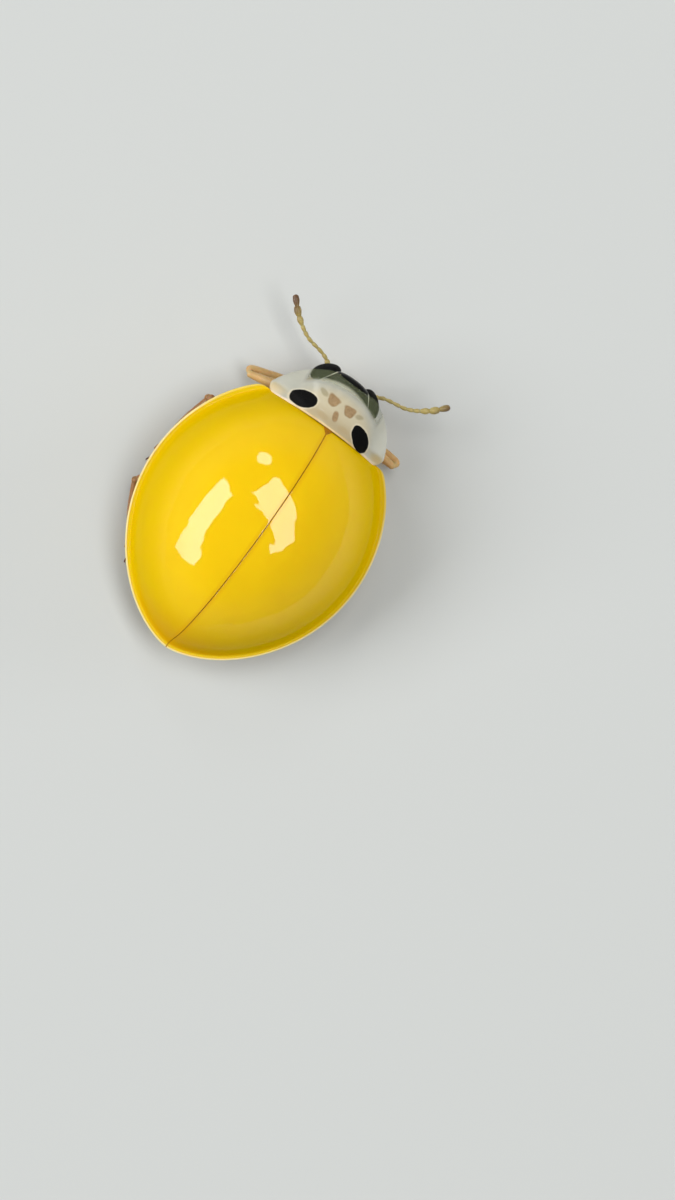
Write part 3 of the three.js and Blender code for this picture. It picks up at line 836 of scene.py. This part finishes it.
# Round the margin's rolled edge and back under it: how far out of the margin's width, at
# what height, and how much of the margin's own colour is there.
ROLLED_EDGE = np.array([
    (0.93, 0.779, 1), (0.985, 0.769, 1), (1, 0.75, 0.8), (0.985, 0.728, 0.6), (0.93, 0.712, 0.5),
    (0.75, 0.694, 0.5), (0.4, 0.676, 0.5), (-0.3, 0.664, 0.5), (-1.2, RIM_UNDERSIDE, 0.5),
]).T


def rim_width(angle):
    """How wide the flattened margin is: wider at the shoulders."""
    return RIM_WIDTH + SHOULDER_RIM * np.exp(-(((angle - math.radians(38)) / 0.42) ** 2))


def dome(share):
    """The dome's height by the share of the way out from its crown, averaged over a short
    way so that its foot runs softly into the gutter."""
    offsets = np.linspace(-1, 1, 9)
    weights = 1 - 0.75 * offsets**2
    total = 0
    for offset, weight in zip(offsets, weights):
        near = np.clip(np.abs(share + offset * GUTTER_BLUR), 0, 1)
        total = total + (1 - near**SHOULDER) ** FALL * weight
    return GUTTER + (CROWN - GUTTER) * total / weights.sum()


def shoulder_hump(x, y):
    """The low swelling on each shoulder."""
    return 0.022 * np.exp(-(((np.abs(x) - 1.28) / 0.26) ** 2) - ((y - 1.08) / 0.34) ** 2)


def waviness(x, y):
    """The slight unevenness of the shells, which makes their reflections waver."""
    def wave(a, b):
        place = Vector((a, b, 0))
        broad = noise.noise(place * 2.1) * 0.008 + noise.noise(place * 4.6) * 0.0038
        return broad + noise.noise(place * 9.5) * 0.0011

    return np.vectorize(wave)(x, y)


def case_height(x, y):
    """The height of the wing cases' dome at a place."""
    angle = np.arctan2(y / np.where(y < 0, BEHIND, AHEAD), np.abs(x) / HALF_WIDTH)
    width = rim_width(angle)
    radius = np.where(y < 0, BEHIND, AHEAD) - width
    s = np.clip(np.abs(y) / radius, 0, 1)
    share = np.hypot(np.abs(x) / (HALF_WIDTH - width), s)
    return dome(share) + shoulder_hump(x, y)


def held_back(y):
    """Stops the wing cases at their straight base line, with the outer corners eased."""
    return CASE_FRONT - CORNER_EASE * np.logaddexp(0, (CASE_FRONT - y) / CORNER_EASE)


def case_form(side):
    """One wing case as a closed shell, and a mark that is 1 on its flattened margin."""
    sweep = np.sin(np.linspace(-math.pi / 2, math.pi / 2, 170)) * math.pi / 2
    shares = np.sin(np.linspace(0, math.pi / 2, 60)) * 0.985
    shares = np.concatenate([[0, 0.002, 0.005, 0.01, 0.017], shares[1:], np.linspace(0.988, 1, 6)])
    flat = np.linspace(0.06, 0.84, 12)
    inner = np.linspace(1, 0, 30)
    rim_points = len(flat) + len(ROLLED_EDGE[0])
    rows, marks = [], []
    for angle in sweep:
        width = float(rim_width(angle))
        x1, y1 = outline(angle, width)
        x0, y0 = outline(angle)
        limit = min(1.0, (CASE_FRONT + CORNER_EASE * 2) / y1) if y1 > 0 else 1.0
        s = shares * limit
        x, y = x1 * s, y1 * s
        z = dome(s) + shoulder_hump(x, y) + waviness(side * x, y) * smooth(s, 1.0, 0.85)
        if limit < 1:
            down = z[-1] + (RIM_UNDERSIDE - z[-1]) * np.linspace(0, 1, rim_points)
            base = np.full(rim_points, held_back(y[-1]))
            rim = np.stack([np.full(rim_points, x[-1]), base, down], 1)
            rim_mark = np.zeros(rim_points)
        else:
            f = np.concatenate([flat, ROLLED_EDGE[0]])
            gutter = dome(1 + flat * width / HALF_WIDTH) + 0.035 * flat**2
            h = np.concatenate([gutter, ROLLED_EDGE[1]])
            rim = np.stack([x1 + (x0 - x1) * f, held_back(y1 + (y0 - y1) * f), h], 1)
            on_top = smooth(flat, 0.3, 0.6) * 0.5 + 0.5 * smooth(flat, 0.7, 0.86)
            rim_mark = np.concatenate([on_top, ROLLED_EDGE[2]])
        xi, yi = outline(angle, width + WALL)
        ceiling = np.clip(1 - inner**SHOULDER, 0, 1) ** FALL
        low = np.maximum(GUTTER + (CROWN - GUTTER - WALL) * ceiling, RIM_UNDERSIDE)
        y_in = np.minimum(yi * inner, CASE_FRONT - 0.05)
        inside = np.stack([xi * inner, y_in, low], 1)
        outer = np.stack([x, held_back(y), z], 1)
        rows.append(np.concatenate([outer, rim, inside]))
        marks.append(np.concatenate([np.zeros(len(s)), rim_mark, np.zeros(len(inner))]))
    rows = np.array(rows)
    from_seam = rows[:, :, 0]
    fallen = np.clip(SEAM_ROUND - from_seam, 0, SEAM_ROUND) / SEAM_ROUND
    rows[:, : len(shares), 2] -= SEAM_ROUND * (1 - np.sqrt(1 - fallen[:, : len(shares)] ** 2)) * 0.8
    rows[:, :, 0] = side * (from_seam + SEAM_HALF)
    return rows, np.array(marks)


def shell_of(rows):
    """A closed form from rows that are each a whole loop, capped at both ends."""
    count, around = rows.shape[:2]
    faces = lattice(count, around)
    faces.append(tuple(range(around))[::-1])
    faces.append(tuple((count - 1) * around + i for i in range(around)))
    return rows.reshape(-1, 3), faces


case_finish, place = finish_named("wing_case_yellow")
across, along, up = abs(place.part(0)), place.part(1) - ALONG, place.part(2)
margin = place.node("ShaderNodeAttribute", {"attribute_name": "margin"}, {}, 2)
blotch = place.noise(0.9, 3)
# Clear yellow with painted shade that deepens it low on the sides, deeper also at the tail and by the
# seam, and a paler margin.
yellow = (blotch * 1.4 + 0.5).tint(colour(242, 199, 0), colour(235, 189, 0))
# Painted shade: a darker yellow low on the sides.
yellow = up.step(1.95, 1.1).tint(yellow, colour(220, 179, 0))
tail = along.step(-1.7, -2.35) * 0.6
yellow = tail.tint(yellow, colour(214, 150, 10))
yellow = (across.step(0.09, 0.015) * 0.4).tint(yellow, colour(222, 158, 4))
edge = margin.step(0.0, 0.5).tint(yellow, colour(224, 192, 24))
pale = margin.step(0.6, 0.95) * (along.step(1.45, 0.7) * 0.7 + 0.3)
edge = pale.tint(edge, colour(238, 220, 156))
seam = (across + place.noise(0.12) * 0.01).step(0.016, 0.005)
edge = seam.tint(edge, colour(190, 136, 8))
under = up.step(0.69, 0.66)
pits = place.cells(0.075).step(0, 0.2)
swell = place.noise(0.55, 2).bump(0.012)
coat(
    place,
    Base_Color=under.tint(edge, colour(232, 196, 96)),
    Roughness=0.42 + blotch * 0.1,
    Specular_IOR_Level=0.0,
    Normal=pits.bump(0.0008, swell),
    Coat_Weight=0.1 + up.step(1.35, 2.05) * 0.82,
    Coat_Roughness=0.035,
    Coat_IOR=1.62,
    Subsurface_Weight=0.25,
    Subsurface_Radius=(1.0, 0.6, 0.1),
    Subsurface_Scale=0.08 * MM,
)
for side_name, side in SIDES:
    rows, marks = case_form(side)
    piece_of(
        f"wing_case_{side_name}", [shell_of(rows)], case_finish,
        [f"elytron_{side_name}"], {"margin": marks.ravel()},
    )


# ---------------------------------------------------------------------------
# Scutellum. The little three-cornered plate between the wing cases' bases, amber
# and slightly domed, set flush at the front end of the seam.
# ---------------------------------------------------------------------------
SCUTELLUM_HALF, SCUTELLUM_LENGTH, SIDE_POINTS = 0.085, 0.12, 20
corners = np.array([
    (-SCUTELLUM_HALF, CASE_FRONT), (0, CASE_FRONT - SCUTELLUM_LENGTH), (SCUTELLUM_HALF, CASE_FRONT),
])
edge_points = []
for a, b in zip(corners, np.roll(corners, -1, 0)):
    edge_points += [a + (b - a) * f for f in np.linspace(0.06, 0.94, SIDE_POINTS)]
edge_points = np.array(edge_points)
middle = np.array([0, CASE_FRONT - SCUTELLUM_LENGTH * 0.36])
rings = []
for scale, lift in ((0.3, 0.003), (0.6, 0.002), (0.85, 0), (0.97, -0.004), (1.0, -0.014), (0.95, -0.06)):
    flat = middle + (edge_points - middle) * scale
    height = case_height(np.full(len(flat), 0.02), flat[:, 1]) + waviness(*flat.T) + lift
    rings.append(np.stack([*flat.T, height], 1))
scutellum_finish, place = finish_named("scutellum_amber")
coat(
    place,
    Base_Color=(place.noise(0.06) + 0.5).tint(colour(186, 124, 6), colour(150, 94, 4)),
    Roughness=0.4 + place.noise(0.03) * 0.2,
    Specular_IOR_Level=0.1,
    Coat_Weight=0.1,
    Coat_Roughness=0.06,
)
piece_of("scutellum_plate", [lump(rings)], scutellum_finish, ["scutellum"])


# ---------------------------------------------------------------------------
# Front shield. The pronotum is a thin arched plate over the neck, milky white with two
# black spots; its front margin is clear as glass, and the eyes show dark through it.
# ---------------------------------------------------------------------------
SHIELD_HALF, SHIELD_CORNER, SHIELD_FRONT, SHIELD_HIND = 1.065, 1.87, 2.53, CASE_FRONT
SIDE_POWER, FRONT_POWER, CORNER_ROUND, HIND_CURVE = 3.05, 1.1, 0.17, 0.036
RIDGE_HIND, RIDGE_FRONT, EDGE_HIND, EDGE_FRONT = 1.47, 1.205, 0.8, 1.185


def shield_half(y):
    """Half the shield's width at a place along it."""
    ahead = np.clip((y - SHIELD_CORNER) / (SHIELD_FRONT - SHIELD_CORNER), 0, 1)
    return SHIELD_HALF * np.clip(1 - ahead**FRONT_POWER, 0, 1) ** (1 / SIDE_POWER)


def shield_height(x, y):
    """The height of the shield's upper face."""
    v = np.clip((y - SHIELD_HIND) / (SHIELD_FRONT - SHIELD_HIND), 0, 1)
    u = np.clip(np.abs(x) / np.maximum(shield_half(np.minimum(y, SHIELD_FRONT - 0.012)), 0.05), 0, 1)
    ridge = RIDGE_HIND + (RIDGE_FRONT - RIDGE_HIND) * v**1.5
    edge = EDGE_HIND + (EDGE_FRONT - EDGE_HIND) * v
    arched = edge + (ridge - edge) * (1 - u**2.2) ** 0.8
    lapped = case_height(x, np.full_like(x, SHIELD_HIND)) + 0.016
    return arched + (lapped - arched) * smooth(y, SHIELD_HIND + 0.17, SHIELD_HIND)


side_y = SHIELD_FRONT - (SHIELD_FRONT - SHIELD_CORNER) * np.linspace(0, 1, 80) ** 2
side_x = shield_half(side_y)
turn = np.linspace(0, math.pi / 2, 14)[1:]
corner_x = SHIELD_HALF - CORNER_ROUND * (1 - np.cos(turn))
corner_y = SHIELD_CORNER - (SHIELD_CORNER - SHIELD_HIND) * np.sin(turn)
hind_x = np.linspace(SHIELD_HALF - CORNER_ROUND, 0, 40)[1:]
hind_y = np.full(len(hind_x), SHIELD_HIND)
half = np.concatenate([
    np.stack([side_x, side_y], 1), np.stack([corner_x, corner_y], 1), np.stack([hind_x, hind_y], 1),
])
half[:, 1] -= HIND_CURVE * half[:, 0] ** 2 * smooth(half[:, 1], SHIELD_CORNER, SHIELD_HIND)
half[:, 1] += 0.035 * np.exp(-(((half[:, 0] - 0.38) / 0.15) ** 2)) * smooth(half[:, 1], 2.2, 2.4)
ring = np.concatenate([half, (half[1:-1] * (-1, 1))[::-1]])
middle = np.array([0, 2.1])
near_rim = 0.9 + 0.1 * np.sin(np.linspace(0.1, math.pi / 2, 14))
upper = [
    (scale, 0.016 * smooth(scale, 0.97, 1.0) ** 2)
    for scale in np.concatenate([np.linspace(0.02, 0.9, 44), near_rim])
]
lower = [(scale, 0.03 + 0.12 * (1 - scale)) for scale in (0.998, 0.985, 0.96, 0.9, 0.8, 0.65, 0.45, 0.25)]
rings = []
for scale, depth in upper + lower:
    flat = middle + (ring - middle) * scale
    rings.append(np.stack([*flat.T, shield_height(*flat.T) - depth], 1))


def oval(x, y, centre, radii, turn, power=2, taper=0.0):
    """0 at the middle of an oval or a rounded block and 1 on its outline."""
    c, s = math.cos(turn), math.sin(turn)
    dx, dy = x - centre[0], y - centre[1]
    ahead = (dy * c - dx * s) / radii[1]
    aside = (dx * c + dy * s) / radii[0] / (ahead * taper + 1)
    return (abs(aside) ** power + abs(ahead) ** power) ** (1 / power)


shield_finish, place = finish_named("shield_milk")
x, y = place.part(0), place.part(1) - ALONG
across = abs(x)
wander = place.noise(0.16, 2)
ragged = wander * 0.14 + place.noise(0.1, 1) * 0.16
# Where the black spots, the cream middle, the brown marks and the clear margin are.
left_spot = oval(x, y, (-0.565, 1.912), (0.21, 0.132), math.radians(21), 2)
right_spot = oval(x, y, (0.505, 1.91), (0.223, 0.13), math.radians(-37), 1.9)
spot = left_spot.least(right_spot) + ragged
disc = oval(x, y, (0, 1.86), (0.66, 0.48), 0) + wander * 0.1
aside = abs(x + 0.025)
brown = (oval(aside, y, (0.15, 2.15), (0.098, 0.088), 0.12, 3.5, 0.35) + ragged * 1.6).step(1.1, 0.8)
brown = brown.most((oval(x, y, (-0.02, 1.97), (0.052, 0.09), 0.35, 2.5) + ragged).step(1.1, 0.7))
crumbs = (oval(aside, y, (0.33, 2.18), (0.09, 0.05), 0.3) + ragged * 3).step(1.1, 0.5)
tan = (oval(across, y, (0.19, 1.87), (0.11, 0.05), 0) + wander * 0.5).step(1.2, 0.6)
front = oval(x, y, (0, 1.62), (1.12, 0.9), 0)
clear = front.step(0.8, 0.93) * abs(x - HEAD_ASIDE).step(0.69, 0.615)
# The colours, laid one over the other from the milky ground up to the black spots.
milk = (wander * 1.2 + 0.5).tint(colour(189, 187, 173), colour(176, 175, 161))
# Painted light: the milk is lightened on the right side, as if lit through from behind.
milk = (x.step(0.55, 0.95) * 0.7).tint(milk, colour(224, 223, 208))
cream = (wander + 0.5).tint(colour(208, 199, 171), colour(198, 183, 150))
tone = disc.step(1.15, 0.75).tint(milk, cream)
hindmost = y.step(2.06, 1.84) * across.step(0.7, 0.45)
tone = (hindmost * 0.75).tint(tone, colour(180, 162, 126))
# Painted light: the hind outer corners are lightened to offset their shade.
corners = across.step(0.78, 0.95) * y.step(1.92, 1.8)
tone = (corners * 0.5).tint(tone, colour(232, 214, 178))
tone = (crumbs * 0.6).tint(tone, colour(150, 138, 104))
tone = (tan * 0.4).tint(tone, colour(186, 162, 120))
speckle = (place.noise(0.05, 3) * 1.8 + 0.5).tint(colour(174, 142, 102), colour(140, 110, 72))
tone = (brown * 0.9).tint(tone, speckle)
# The pale hind edge, lighter on its outer parts as a painted highlight.
pale_edge_and_painted_highlight = across.step(0.55, 0.7).tint(colour(226, 198, 140), colour(250, 228, 200))
tone = (y + x * x * HIND_CURVE + wander * 0.02).step(1.8, 1.765).tint(tone, pale_edge_and_painted_highlight)
tone = (spot.step(1.22, 1.04) * 0.55).tint(tone, colour(224, 213, 187))
tone = (clear.step(0.45, 1) * 0.9).tint(tone, colour(132, 142, 98))
black = spot.step(1.03, 0.97)
tone = black.tint(tone, colour(6, 5, 4))
pits = place.cells(0.05).step(0, 0.25)
coat(
    place,
    Base_Color=tone,
    Roughness=0.36 + wander * 0.1 + black * 0.2,
    Specular_IOR_Level=0.1,
    Alpha=0.97 - clear * 0.83,
    Normal=pits.bump(0.001, place.noise(0.3).bump(0.004)),
    Coat_Weight=0.5 - black * 0.5,
    Coat_Roughness=0.08,
    Subsurface_Weight=0.3,
    Subsurface_Radius=(1.0, 0.9, 0.7),
    Subsurface_Scale=0.06 * MM,
)
piece_of("front_shield", [lump(rings)], shield_finish, ["pronotum"])
